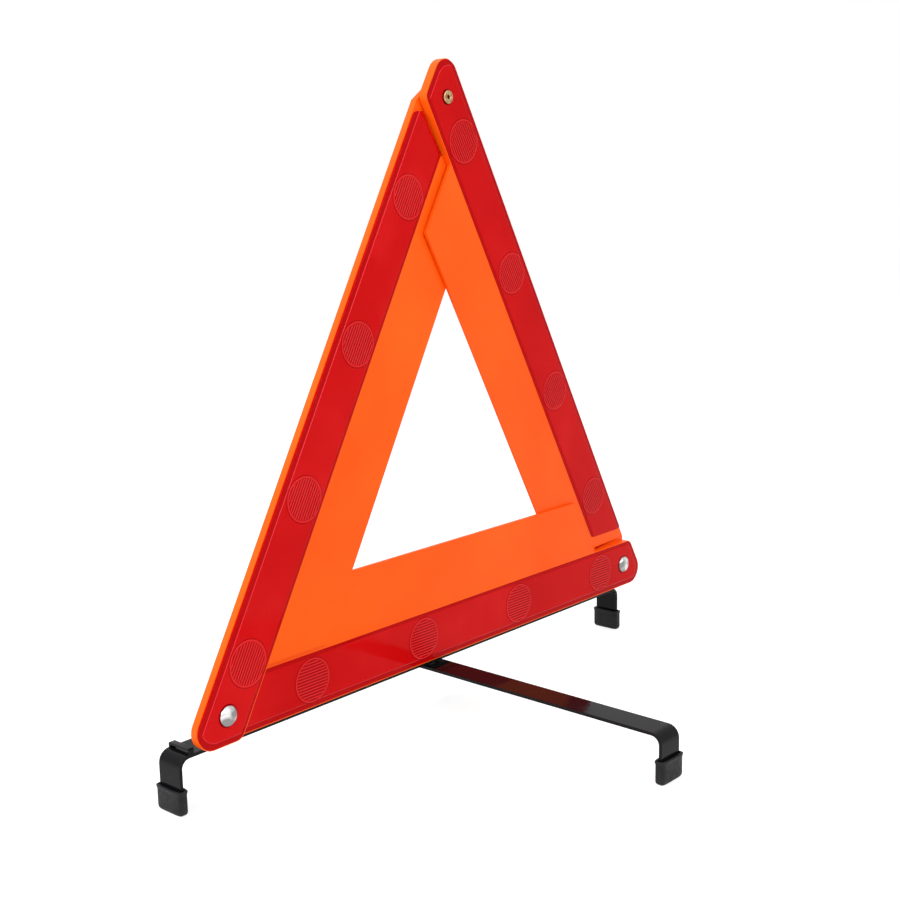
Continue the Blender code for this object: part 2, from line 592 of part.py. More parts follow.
def build():
    orange = material("orange_polypropylene", (0.95, 0.16, 0.01), 0.35)
    red = material("red_acrylic", (0.62, 0.008, 0.012), 0.15)
    silver = material("plated_steel", (0.75, 0.75, 0.76), 0.25, 1.0)
    brass = material("brass", (0.78, 0.60, 0.28), 0.30, 1.0)
    black = material("black_painted_steel", (0.012, 0.012, 0.013), 0.25)
    rubber = material("black_rubber", (0.020, 0.020, 0.021), 0.60)

    places = arm_places()
    ledges = {"base": (LEDGE_BASE, None), "left": (LEDGE_LEFT, LEFT_LENS_TIP), "right": (LEDGE_RIGHT, None)}
    head = Vector((PIVOT_U, PIVOT_V, 0.0))
    tail = Vector((SIDE - PIVOT_U, PIVOT_V, 0.0))
    carriers = {"base": FRAME,
                "left": hinge_empty("left_hinge", places["left"], head, FRAME),
                "right": hinge_empty("right_hinge", places["right"], tail, FRAME)}
    rivet_hole = circle(HOLE_RADIUS, 24, (SIDE - PIVOT_U, PIVOT_V))
    openings = {"base": rivet_hole, "left": stud_seat_outline(), "right": rivet_hole}
    pieces = []
    trays = {}
    for arm, place in places.items():
        tray = make_tray(arm, *ledges[arm], openings[arm], orange)
        lens = make_lens(arm, *ledges[arm], red)
        trays[arm] = tray
        for piece in (tray, lens):
            hang(piece, carriers[arm], place)
            pieces.append(piece)
    for side in (-1, 1):
        add_screw_blocks(trays["base"], side)

    for label, head_arm, tail_arm in (("left", "left", "base"), ("right", "base", "right")):
        rivet = make_corner_rivet(label + "_corner_rivet", silver)
        hang(rivet, FRAME, places[head_arm] @ Matrix.Translation(head))
        washer = make_washer(label + "_rivet_washer", HOLE_RADIUS, WASHER_RADIUS, WASHER_THICKNESS, silver)
        behind = Vector((0.0, 0.0, ARM_DEPTH + FIT))
        hang(washer, FRAME, places[tail_arm] @ Matrix.Translation(tail + behind))
        pieces += [rivet, washer]
    stud = make_stud(brass)
    hang(stud, carriers["right"], places["right"] @ Matrix.Translation(head))
    pieces.append(stud)

    middle = Vector((BAR_OFFSET, BAR_SETBACK + STRIP_STEEL_WIDTH / 2, 0.0))
    bar = make_bar(black)
    hang(bar, FRAME, Matrix.Translation(middle))
    bar_under = STAND_HEIGHT - FIT - STEEL
    for side, label in ((1, "left"), (-1, "right")):
        above = screw_place(places["base"], side)
        spot = Vector((above.x, above.y, bar_under))
        screw = make_screw(label + "_stand_screw", silver)
        hang(screw, FRAME, Matrix.Translation(spot))
        hole = turned(label + "_screw_hole", sunk_hole_profile(SCREW_RADIUS, SCREW_HEAD_RADIUS), CUTTERS)
        cut(bar, hole)
        hole.matrix_local = Matrix.Translation(spot - middle)
        pieces.append(screw)

    swivel = hinge_empty("leg_swivel", Matrix.Identity(4), middle, FRAME)
    leg_turn = Matrix.Rotation(LEG_ANGLE - math.pi / 2, 4, "Z")
    leg_place = Matrix.Translation(middle) @ leg_turn
    leg = make_leg(black)
    hang(leg, swivel, leg_place)
    pivot = make_leg_pivot(silver)
    hang(pivot, FRAME, Matrix.Translation(middle))
    bore = PIVOT_RADIUS + FIT
    leg_washer = make_washer("leg_washer", bore, LEG_WASHER_RADIUS, LEG_WASHER_THICKNESS, silver)
    washer_low = leg_levels()[0] - LEG_WASHER_THICKNESS
    hang(leg_washer, FRAME, Matrix.Translation(middle + Vector((0.0, 0.0, washer_low))))
    pieces += [bar, leg, pivot, leg_washer]

    to_end = Vector((BAR_HALF_LENGTH, 0.0, 0.0))
    half_turn = Matrix.Rotation(math.pi, 4, "Z")
    leg_end = leg_place @ Matrix.Translation((LEG_LENGTH, 0.0, 0.0))
    right_end = Matrix.Translation(middle + to_end)
    left_end = Matrix.Translation(middle - to_end) @ half_turn
    for name, carrier, place in (("leg_foot_cap", swivel, leg_end), ("right_foot_cap", FRAME, right_end),
                                 ("left_foot_cap", FRAME, left_end)):
        cap = make_cap(name, rubber)
        hang(cap, carrier, place)
        pieces.append(cap)
    for piece in pieces:
        piece.data.shade_smooth()
        piece.data.set_sharp_from_angle(angle=math.radians(35))
    settle(FRAME, pieces)
    for empty in (carriers["left"], carriers["right"], swivel):
        bpy.context.view_layer.update()
        spot = empty.matrix_world.translation
        axis = empty.matrix_world.to_3x3().col[2]
        numbers = [round(value, 6) for value in (*spot, *axis)]
        print(empty.name, "at", numbers[:3], "axis", numbers[3:])


clear_scene()
PARTS = new_collection(COLLECTION_NAME)
CUTTERS = new_collection(CUTTER_COLLECTION_NAME)
FRAME = bpy.data.objects.new("triangle_frame", None)
PARTS.objects.link(FRAME)
build()
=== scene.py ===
"""Looks of the folding warning triangle: ribbed lenses, rubber caps, rivets, finishes, light and camera."""
import json
import math

import bmesh
import bpy
import numpy as np
from mathutils import Matrix, Vector


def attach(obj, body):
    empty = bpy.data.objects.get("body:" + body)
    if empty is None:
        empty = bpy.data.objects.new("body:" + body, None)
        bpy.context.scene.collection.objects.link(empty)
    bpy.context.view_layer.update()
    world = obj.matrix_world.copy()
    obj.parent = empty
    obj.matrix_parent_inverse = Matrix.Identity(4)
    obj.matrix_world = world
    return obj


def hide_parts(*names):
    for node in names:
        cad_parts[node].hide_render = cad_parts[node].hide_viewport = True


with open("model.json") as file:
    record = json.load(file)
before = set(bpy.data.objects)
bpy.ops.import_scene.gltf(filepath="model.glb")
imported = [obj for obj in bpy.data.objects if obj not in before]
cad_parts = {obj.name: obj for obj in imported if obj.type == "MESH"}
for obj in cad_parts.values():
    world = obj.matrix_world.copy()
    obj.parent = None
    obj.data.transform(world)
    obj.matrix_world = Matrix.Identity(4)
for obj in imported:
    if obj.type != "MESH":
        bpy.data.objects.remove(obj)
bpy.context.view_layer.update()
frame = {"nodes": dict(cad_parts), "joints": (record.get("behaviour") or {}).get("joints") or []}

# Sizes of the arms, in metres, as the solids have them.
SIDE = 0.450
ARM_DEPTH = 0.0065
STRIP_WIDTH = 0.0340
CORNER_RADIUS = 0.0110
INNER_CORNER_RADIUS = 0.0065
LAP_STEP = 0.0050
LAP_GAP = 0.0008
END_GAP = 0.0020
RIM_WALL = 0.0012
FIT = 0.0003
LENS_RECESS = 0.0002
LENS_THICKNESS = 0.0024
HOLE_RADIUS = 0.0029
FLANGE_CLEARANCE = 0.0060
SQRT3 = math.sqrt(3)
PIVOT_V = STRIP_WIDTH / 2
PIVOT_U = PIVOT_V * SQRT3
LEAN = math.asin(LAP_STEP / (SIDE - 2 * PIVOT_U))
TAIL_START = SIDE - (STRIP_WIDTH + END_GAP) * 2 / SQRT3
TONGUE_BACK = ARM_DEPTH + LAP_STEP

# Tray: how far the rim is let back under the lens's lip, where that depth changes, how far the flange's ends
# move, and the smaller circle of the tongue's end.
RIM_FRONT = 0.00095
OUTER_RIM_FRONTS = {"base": 0.00095, "left": 0.0019, "right": 0.0019}
RIM_CHANGE_LENGTH = 0.015
RIM_CHANGE_START = 0.026
RIM_CHANGE_END = 0.0335
FLANGE_REACH = 0.00185
FLANGE_ADVANCES = {"base": 0.0, "left": 0.0030, "right": 0.0}
TONGUE_RADIUS = 0.0115

# Tray: within these distances a point counts as one of the front rim, the flange or its ends, or the tongue.
RIM_BAND = 0.0003
FLANGE_BAND = 0.0002
FLANGE_START_BAND = 0.0022
FLANGE_TAIL_BAND = 0.0012
TONGUE_BAND = 0.0001
TONGUE_LEAST = 0.010
FLANGE_CUT = 0.0004
TONGUE_CUT = 0.0003

# Lens: a lid with a thin lip over the tray's rim and a body in its pocket. Each end is given as how far it
# stands back from the tray's slanted tail, and where a level cut across the tip starts.
LID_ENDS = {"base": (0.0004, None), "left": (0.0004, 0.4010), "right": (0.0085, None)}
BODY_ENDS = {"base": (0.0015, None), "left": (0.0015, 0.3927), "right": (0.0088, None)}
LID_INSET = 0.0006
LID_GAP = 0.00005
TAIL_ROUND = 0.0022
OUTER_TAIL_SHARE = 1.2
INNER_TAIL_SHARE = 0.4

# Lens relief: a lower border along the outer edge, the head and the inner edge, a sunk seat round the
# fastener, and four ribbed discs.
BORDER_WIDTH = 0.0031
INNER_BORDER_WIDTH = 0.0018
BORDER_DROP = 0.0004
BORDER_SLOPE = 0.0006
EDGE_ROUND = 0.00015
SEAT_INNER = 0.00035
SEAT_OUTER = 0.00075
SEAT_DROP = 0.0003
DISC_SHIFTS = {"base": 0.0, "left": 0.0014, "right": 0.0}
DISC_COUNT = 4
DISC_FIRST = 0.0598
DISC_PITCH = 0.0975
DISC_RADIUS = 0.0135
RING_MIDDLE = DISC_RADIUS - 0.00040
RING_HEIGHT = 0.00028
RING_FLAT = 0.0002
RING_FOOT = 0.0006
GROOVE_MIDDLE = DISC_RADIUS + 0.00036
GROOVE_FLAT = 0.0002
GROOVE_FOOT = 0.0006
RIB_HEIGHT = 0.00026
RIB_PITCH = 0.00183
RIBS_FULL = DISC_RADIUS - 0.00176
RIBS_END = DISC_RADIUS - 0.00096

# Lens: how strongly each mark of painted light and shade shows: the painted shadow in the seat, the painted
# highlight on the ring, the painted shade in the groove, and painted light on rib crests over shaded hollows.
SEAT_SHADE = 1.2
RING_LIGHT = 0.7
GROOVE_SHADE = 0.8
RIB_SHADE = 0.15

# Lens grid: rows across the arm, and columns along it before its ends take their slant.
ROWS = 150
HEAD_COLUMNS = 80
HEAD_COLUMNS_END = 0.0400
HEAD_FADE = 0.0445
DISC_COLUMNS = 96
DISC_MARGIN = 0.0012
BETWEEN_COLUMNS = 16
TAIL_COLUMNS = 20
TAIL_COLUMNS_START = 0.3690
TAIL_FADE = 0.3685
GRID_LENGTH = 0.4000

# Rivets and stud.
SHANK_RADIUS = 0.0025
RIVET_HEAD_RADIUS = 0.0060
RIVET_HEAD_HEIGHT = 0.0022
RIVET_TAIL_RADIUS = 0.0042
RIVET_TAIL_HEIGHT = 0.0009
RIVET_TAIL_TAPER = 0.8
DOME_STEPS = 16
DOME_FIRST_ANGLE = 3.0
WASHER_THICKNESS = 0.0010
STUD_RADIUS = 0.0041
STUD_HEIGHT = 0.0011
STUD_EDGE = 0.00066
STUD_EDGE_STEPS = 6
STUD_TAIL_TAPER = 0.9
STUD_BORE = 0.0012
STUD_DEPTH = 0.0060
TURNED_SIDES = 72
FASTENER_RADII = {"base": RIVET_HEAD_RADIUS, "left": RIVET_HEAD_RADIUS, "right": STUD_RADIUS}

# Strip steel and rubber caps. A cap's levels go up the outside and down into the mouth: how far in from the
# sides along x and y, and how high; the share of the lip, and how far below the top; how far wider than the
# slot along x and y, and how far below the top.
STEEL = 0.0020
STEEL_WIDTH = 0.0180
BAR_HALF_LENGTH = 0.2080
LEG_LENGTH = 0.1900
LEG_ANGLE = math.radians(-90.7)
CAP_HEIGHT = 0.0142
CAP_SOLE = 0.0030
CAP_WALL = 0.0017
CAP_FACE = 0.0024
CAP_LIP = 0.0004
CAP_SIDES = 64
CAP_POWER = 5.0
CAP_FOOT_LEVELS = ((0.0013, 0.0019, 0.0), (0.0007, 0.0010, 0.0002), (0.0002, 0.0004, 0.0008),
                   (0.0, 0.0001, 0.0017), (0.0, 0.0, 0.0030))
CAP_LIP_LEVELS = ((0.0, 0.0030), (0.2, 0.0020), (0.7, 0.0013), (1.0, 0.0007), (1.0, 0.0003), (0.4, 0.0))
CAP_MOUTH_LEVELS = ((0.0011, 0.0008, 0.0), (0.0006, 0.0004, 0.0008), (0.0, 0.0, 0.0018))

# Meshes: rounded edges of the copied solids, and the angles and distances for smoothing and merging.
TRAY_BEVEL = 0.00040
STEEL_BEVEL = 0.00030
BEVEL_SEGMENTS = 2
SHARP_ANGLE = 40.0
LENS_SHARP_ANGLE = 50.0
TURNED_SHARP_ANGLE = 45.0
CAP_SHARP_ANGLE = 50.0
FLAT_ANGLE = 0.5
MERGE = 1e-7
SOLID_MERGE = 2e-6
CUT_MERGE = 1e-6

# Floor, surroundings and lamps: name, place, power in watts and width of each lamp.
FLOOR_HALF = 6.0
FLOOR_DROP = 0.0002
FLOOR_TONE = 0.60
FLOOR_GLOW = 0.62
SKY_LEVEL = 0.62
LAMPS = (("key_lamp", (-0.9, -1.7, 1.4), 20.0, 1.2), ("fill_lamp", (0.4, -2.0, 0.9), 6.0, 1.2),
         ("side_lamp", (-1.6, 0.3, 1.2), 22.0, 1.0), ("top_lamp", (0.1, 0.3, 2.0), 6.0, 1.4))
LAMP_AIM = (0.0, 0.0, 0.2)

# Camera, as fitted to the photograph: its right and up directions, its place, and its lens in millimetres.
CAMERA_RIGHT = (0.660571, -0.750506, -0.019687)
CAMERA_UP = (0.150856, 0.107000, 0.982748)
CAMERA_PLACE = (-0.642959, -0.494190, 0.331068)
CAMERA_LENS = 54.84
CAMERA_SENSOR = 36.0

JOINTS = {joint["name"]: joint for joint in frame["joints"]}


def arm_frames():
    """Frame of each arm: its u axis from head to tail, v inwards, w to the back, and its head corner.

    Each arm leans by a turn about its own v axis through its middle; then all turn about the upright line
    through the base arm's middle until the base arm is level, and move until the left pivot is on its hinge.
    """
    half = SIDE / 2
    corners = {"base": ((half, 0, 0), (-1, 0, 0), (0, 0, 1)),
               "right": ((0, 0, half * SQRT3), (0.5, 0, -SQRT3 / 2), (-SQRT3 / 2, 0, -0.5)),
               "left": ((-half, 0, 0), (0.5, 0, SQRT3 / 2), (SQRT3 / 2, 0, -0.5))}
    back = np.array((0.0, 1.0, 0.0))
    level = np.array(((math.cos(LEAN), -math.sin(LEAN), 0), (math.sin(LEAN), math.cos(LEAN), 0), (0, 0, 1)))
    upright = np.array((0.0, ARM_DEPTH / 2, 0.0))
    frames = {}
    for arm, (corner, along, inward) in corners.items():
        along = np.array(along)
        u = math.cos(LEAN) * along + math.sin(LEAN) * back
        w = math.cos(LEAN) * back - math.sin(LEAN) * along
        middle = np.array(corner) + along * half + back * ARM_DEPTH / 2
        corner = middle - u * half - w * ARM_DEPTH / 2
        axes = level @ np.column_stack((u, np.array(inward, float), w))
        frames[arm] = (axes, level @ (corner - upright) + upright)
    axes, corner = frames["left"]
    pivot = axes @ (PIVOT_U, PIVOT_V, 0.0) + corner
    shift = np.array(JOINTS["left_arm_swing"]["pos_m"]) - pivot
    return {arm: (axes, corner + shift) for arm, (axes, corner) in frames.items()}


ARMS = arm_frames()


def placed(points, place):
    """Points of a local frame carried into the object's frame by its axes and its origin."""
    axes, origin = place
    return points @ axes.T + origin


def vertex_array(piece):
    """Places of a mesh's points as one array."""
    values = np.empty(len(piece.data.vertices) * 3, np.float32)
    piece.data.vertices.foreach_get("co", values)
    return values.reshape(-1, 3).astype(float)


def mesh_piece(name, points, faces, sharp_angle=SHARP_ANGLE):
    """Mesh from an array of points and a list of faces, with its normals turned outwards."""
    mesh = bpy.data.meshes.new(name)
    mesh.from_pydata(points.tolist(), [], faces)
    shape = bmesh.new()
    shape.from_mesh(mesh)
    bmesh.ops.remove_doubles(shape, verts=shape.verts, dist=MERGE)
    bmesh.ops.recalc_face_normals(shape, faces=shape.faces)
    shape.to_mesh(mesh)
    shape.free()
    mesh.shade_smooth()
    mesh.set_sharp_from_angle(angle=math.radians(sharp_angle))
    piece = bpy.data.objects.new(name, mesh)
    bpy.context.scene.collection.objects.link(piece)
    return piece


def grid_quads(rows, columns, closed=False):
    """Corner numbers of the quads of a grid whose points are stored row after row."""
    last = columns if closed else columns - 1
    row, column = np.meshgrid(np.arange(rows - 1), np.arange(last), indexing="ij")
    following = (column + 1) % columns
    quads = np.stack((row * columns + column, row * columns + following,
                      (row + 1) * columns + following, (row + 1) * columns + column), axis=-1)
    return quads.reshape(-1, 4).tolist()


def tube_faces(rings, sides):
    """Faces of a closed tube of rings: the quads between them, and one face over each end ring."""
    ends = [list(range(sides)), list(range((rings - 1) * sides, rings * sides))]
    return grid_quads(rings, sides, closed=True) + ends


def smooth(value, low, high):
    """Rises from 0 at low to 1 at high with level ends: 3t^2 - 2t^3."""
    t = np.clip((value - low) / (high - low), 0.0, 1.0)
    return t * t * (3 - 2 * t)


def head_limit(v, inset):
    """Least u of the lens at each v: the slanted head line, rounded by one circle at either end of it."""
    limit = v / SQRT3 + inset * 2 / SQRT3
    radius = CORNER_RADIUS - inset
    centre_v = inset + radius
    centre_u = centre_v * SQRT3
    tip = centre_u - np.sqrt(np.maximum(radius ** 2 - (v - centre_v) ** 2, 0.0))
    limit = np.where(v < centre_v + radius / 2, tip, limit)
    radius = INNER_CORNER_RADIUS - inset
    centre_v = STRIP_WIDTH - inset - radius
    centre_u = centre_v / SQRT3 + inset * 2 / SQRT3 + radius * 2 / SQRT3
    inner = centre_u - np.sqrt(np.maximum(radius ** 2 - (v - centre_v) ** 2, 0.0))
    return np.where(v > centre_v + radius / 2, np.maximum(inner, limit), limit)


def tail_limit(v, ends, inset):
    """Greatest u of the lens at each v: the slanted tail line, cut level across the tip where one is given.

    At both ends of the line a quarter circle is taken off: r (1 - sqrt(1 - t^2)), t falling from 1 to 0.
    """
    ledge, tip = ends
    limit = TAIL_START - ledge * 2 / SQRT3 - v / SQRT3
    if tip is not None:
        limit = np.minimum(limit, tip + (v - inset) / SQRT3)
    outer = np.clip(1.0 - (v - inset) / TAIL_ROUND, 0.0, 1.0)
    inner = np.clip(1.0 - (STRIP_WIDTH - inset - v) / TAIL_ROUND, 0.0, 1.0)
    taken = (OUTER_TAIL_SHARE * (1.0 - np.sqrt(1.0 - outer ** 2))
             + INNER_TAIL_SHARE * (1.0 - np.sqrt(1.0 - inner ** 2)))
    return limit - TAIL_ROUND * taken


def lens_relief(arm, u, v):
    """Depth of the lens front below its flat panel, and the shares there of the border, of a painted
    highlight on the step and of painted light and shade over seat, rings, grooves and ribs.

    The border is a lower step along the outer edge, the head and the inner edge, with a painted highlight on
    the outer step. A narrow sunk seat shows round the rivet or stud, with a painted shadow in it. Each disc
    is a smooth ring with cosine ribs along the arm inside it and a fine groove round it; ring and rib crests
    carry painted highlights, rib hollows and the groove painted shade. The outline's edge is rounded off.
    """
    from_head = (u - head_limit(v, LID_INSET)) * SQRT3 / 2
    from_outer = np.minimum(v - LID_INSET, from_head)
    from_inner = STRIP_WIDTH - LID_INSET - v
    outer = 1.0 - smooth(from_outer, BORDER_WIDTH, BORDER_WIDTH + BORDER_SLOPE)
    inner = 1.0 - smooth(from_inner, INNER_BORDER_WIDTH, INNER_BORDER_WIDTH + BORDER_SLOPE)
    border = np.maximum(outer, inner)
    # Share of a painted highlight on the slope of the outer border's step.
    step = 4.0 * outer * (1.0 - outer) * (1.0 - inner)
    beyond = np.hypot(u - PIVOT_U, v - PIVOT_V) - FASTENER_RADII[arm]
    seat = 1.0 - smooth(beyond, SEAT_INNER, SEAT_OUTER)
    depth = BORDER_DROP * border + SEAT_DROP * seat
    # Painted light and shade: a painted shadow in the seat round the fastener, then painted highlights on
    # rings and rib crests, and painted shade in rib hollows and grooves.
    painted_light_and_shade = -SEAT_SHADE * seat
    across = v - PIVOT_V - DISC_SHIFTS[arm]
    ribs = np.cos(2 * math.pi * across / RIB_PITCH)
    for k in range(DISC_COUNT):
        radius = np.hypot(u - DISC_FIRST - k * DISC_PITCH, across)
        ring = 1.0 - smooth(np.abs(radius - RING_MIDDLE), RING_FLAT, RING_FOOT)
        groove = 1.0 - smooth(np.abs(radius - GROOVE_MIDDLE), GROOVE_FLAT, GROOVE_FOOT)
        inside = 1.0 - smooth(radius, RIBS_FULL, RIBS_END)
        depth = depth - RING_HEIGHT * ring - RIB_HEIGHT * (0.5 + 0.5 * ribs) * inside
        painted_light_and_shade = painted_light_and_shade + RING_LIGHT * ring + (ribs - RIB_SHADE) * inside
        painted_light_and_shade = painted_light_and_shade - GROOVE_SHADE * groove * (1.0 - ring)
    edge = np.minimum(from_outer, from_inner)
    depth = depth + EDGE_ROUND * (1.0 - smooth(edge, 0.0, EDGE_ROUND * 2))
    return depth, border, step, painted_light_and_shade


def lens_columns():
    """Places along the arm: close together at the head and on the discs, wide apart between them."""
    stops = [np.linspace(0.0, HEAD_COLUMNS_END, HEAD_COLUMNS)]
    reach = DISC_RADIUS + DISC_MARGIN
    for k in range(DISC_COUNT):
        centre = DISC_FIRST + k * DISC_PITCH
        stops.append(np.linspace(centre - reach, centre + reach, DISC_COLUMNS))
        if k < DISC_COUNT - 1:
            stops.append(np.linspace(centre + reach, centre + DISC_PITCH - reach, BETWEEN_COLUMNS)[1:-1])
    stops.append(np.linspace(TAIL_COLUMNS_START, GRID_LENGTH, TAIL_COLUMNS))
    return np.unique(np.concatenate(stops))


def lens_grid(inset, ends):
    """Grid of u and v over a lens outline.

    Columns follow the slanted head and tail at the ends and fade into straight columns between them.
    """
    v = np.linspace(inset, STRIP_WIDTH - inset, ROWS)
    columns = lens_columns()
    near_head = np.clip((HEAD_FADE - columns) / HEAD_FADE, 0.0, 1.0)[:, None]
    near_tail = np.clip((columns - TAIL_FADE) / (GRID_LENGTH - TAIL_FADE), 0.0, 1.0)[:, None]
    head = head_limit(v, inset)[None, :]
    tail = tail_limit(v, ends, inset)[None, :]
    u = columns[:, None] + near_head * head + near_tail * (tail - GRID_LENGTH)
    return u, np.broadcast_to(v, u.shape)


def rim_front(arm, u, v):
    """Depth of the tray's rim under the lens's lip.

    It is deeper along the outer edge than at the head and beside the flange, and changes smoothly round the
    head's corner.
    """
    past_head = smooth(u - v * SQRT3, 0.0, RIM_CHANGE_LENGTH)
    near_flange = smooth(v, RIM_CHANGE_START, RIM_CHANGE_END)
    return RIM_FRONT + (OUTER_RIM_FRONTS[arm] - RIM_FRONT) * past_head * (1.0 - near_flange)


def make_lens(arm):
    """Lens: its front is a height field over u and v.

    The front is ringed by the lip's wall, the step under the lip, the body's wall and a flat back.
    """
    u, v = lens_grid(LID_INSET, LID_ENDS[arm])
    body_u, body_v = lens_grid(RIM_WALL + FIT, BODY_ENDS[arm])
    depth = lens_relief(arm, u, v)[0]
    front = np.stack((u, v, LENS_RECESS + depth), axis=-1).reshape(-1, 3)
    body = np.stack((body_u, body_v, np.zeros_like(body_u)), axis=-1).reshape(-1, 3)
    rows, columns = u.shape
    order = np.arange(rows * columns).reshape(rows, columns)
    loop = np.concatenate((order[:, 0], order[-1, 1:], order[-2::-1, -1], order[0, -2:0:-1]))
    lip, under, back = front[loop].copy(), body[loop].copy(), body[loop].copy()
    lip[:, 2] = rim_front(arm, lip[:, 0], lip[:, 1]) - LID_GAP
    under[:, 2] = lip[:, 2]
    back[:, 2] = LENS_RECESS + LENS_THICKNESS
    points = placed(np.concatenate((front, lip, under, back)), ARMS[arm])
    count = len(loop)
    rings = [loop] + [np.arange(count) + len(front) + k * count for k in range(3)]
    faces = grid_quads(rows, columns) + [rings[3].tolist()]
    for near, far in zip(rings[:-1], rings[1:]):
        faces += np.stack((near, np.roll(near, -1), np.roll(far, -1), far), axis=-1).tolist()
    piece = mesh_piece(arm + "_ribbed_lens", points, faces, LENS_SHARP_ANGLE)
    local = (vertex_array(piece) - ARMS[arm][1]) @ ARMS[arm][0]
    shares = lens_relief(arm, local[:, 0], local[:, 1])[1:]
    # Attributes for the finish: the darker border, the painted highlight on the step, and the painted light
    # and shade.
    for name, share in zip(("border", "painted_step_highlight", "painted_light_and_shade"), shares):
        layer = piece.data.attributes.new(name, "FLOAT", "POINT")
        layer.data.foreach_set("value", share.astype(np.float32))
    return piece


def turned(name, profile, place):
    """Surface of revolution about the local w axis: radius and depth points swept through a whole turn."""
    profile = np.array(profile)
    angle = np.linspace(0.0, 2 * math.pi, TURNED_SIDES, endpoint=False)
    radius = profile[:, 0][:, None]
    depth = np.broadcast_to(profile[:, 1][:, None], (len(profile), TURNED_SIDES))
    points = np.stack((radius * np.cos(angle), radius * np.sin(angle), depth), axis=-1)
    faces = tube_faces(len(profile), TURNED_SIDES)
    return mesh_piece(name, placed(points.reshape(-1, 3), place), faces, TURNED_SHARP_ANGLE)


def pivot_place(arm):
    """Frame on an arm's front plane with its origin on the pivot's axis in the arm's head."""
    axes, corner = ARMS[arm]
    return axes, axes @ np.array((PIVOT_U, PIVOT_V, 0.0)) + corner


def make_rivet(name, arm):
    """Rivet with an elliptic dome, a shank and a rolled tail; a small flat rim lies under the dome."""
    under = LENS_RECESS - FIT
    tail = TONGUE_BACK + FIT + WASHER_THICKNESS + FIT
    angle = np.radians(np.linspace(DOME_FIRST_ANGLE, 90.0, DOME_STEPS))
    dome = np.column_stack((RIVET_HEAD_RADIUS * np.sin(angle), under - RIVET_HEAD_HEIGHT * np.cos(angle)))
    rest = ((SHANK_RADIUS, under), (SHANK_RADIUS, tail), (RIVET_TAIL_RADIUS, tail),
            (RIVET_TAIL_RADIUS, tail + RIVET_TAIL_HEIGHT / 2),
            (RIVET_TAIL_RADIUS * RIVET_TAIL_TAPER, tail + RIVET_TAIL_HEIGHT))
    return turned(name, np.concatenate((dome, rest)), pivot_place(arm))


def make_stud():
    """Hollow stud: a rounded flange round a blind bore in front, a tube, and a flange behind the tail."""
    front = LENS_RECESS - FIT
    back = TONGUE_BACK + LAP_GAP / 2
    quarter = np.radians(np.linspace(0.0, 90.0, STUD_EDGE_STEPS))
    level = front - STUD_HEIGHT + STUD_EDGE
    outer = np.column_stack((STUD_RADIUS - STUD_EDGE + STUD_EDGE * np.cos(quarter),
                             level - STUD_EDGE * np.sin(quarter)))
    inner = np.column_stack((STUD_BORE + STUD_EDGE - STUD_EDGE * np.sin(quarter),
                             level - STUD_EDGE * np.cos(quarter)))
    bottom = ((STUD_BORE, front + STUD_DEPTH),)
    rest = ((STUD_RADIUS, front), (SHANK_RADIUS, front), (SHANK_RADIUS, back), (STUD_RADIUS, back),
            (STUD_RADIUS, back + STUD_EDGE), (STUD_RADIUS * STUD_TAIL_TAPER, back + STUD_HEIGHT))
    profile = np.concatenate((bottom, inner[::-1], outer[::-1], rest))
    return turned("hollow_brass_stud", profile, pivot_place("right"))


def cap_ring(half_x, half_y, height):
    """One level of a cap: a superellipse of power CAP_POWER with the given half sizes."""
    angle = np.linspace(0.0, 2 * math.pi, CAP_SIDES, endpoint=False)
    cosine, sine = np.cos(angle), np.sin(angle)
    x = half_x * np.sign(cosine) * np.abs(cosine) ** (2 / CAP_POWER)
    y = half_y * np.sign(sine) * np.abs(sine) ** (2 / CAP_POWER)
    return np.column_stack((x - STEEL / 2, y, np.full(CAP_SIDES, height)))


def make_cap(name, origin, turn):
    """Rubber cap: superellipse levels up the outside, over a flared lip and down into the foot's slot."""
    slot_x = STEEL / 2 + FIT
    slot_y = STEEL_WIDTH / 2 + FIT
    side_x = slot_x + CAP_FACE - CAP_LIP
    side_y = slot_y + CAP_WALL - CAP_LIP
    levels = [(side_x - x, side_y - y, height) for x, y, height in CAP_FOOT_LEVELS]
    for share, below in CAP_LIP_LEVELS:
        levels.append((side_x + CAP_LIP * share, side_y + CAP_LIP * share, CAP_HEIGHT - below))
    levels += [(slot_x + x, slot_y + y, CAP_HEIGHT - below) for x, y, below in CAP_MOUTH_LEVELS]
    levels.append((slot_x, slot_y, CAP_SOLE))
    points = np.concatenate([cap_ring(*level) for level in levels])
    cosine, sine = math.cos(turn), math.sin(turn)
    axes = np.array(((cosine, -sine, 0.0), (sine, cosine, 0.0), (0.0, 0.0, 1.0)))
    faces = tube_faces(len(levels), CAP_SIDES)
    return mesh_piece(name, placed(points, (axes, np.array(origin))), faces, CAP_SHARP_ANGLE)


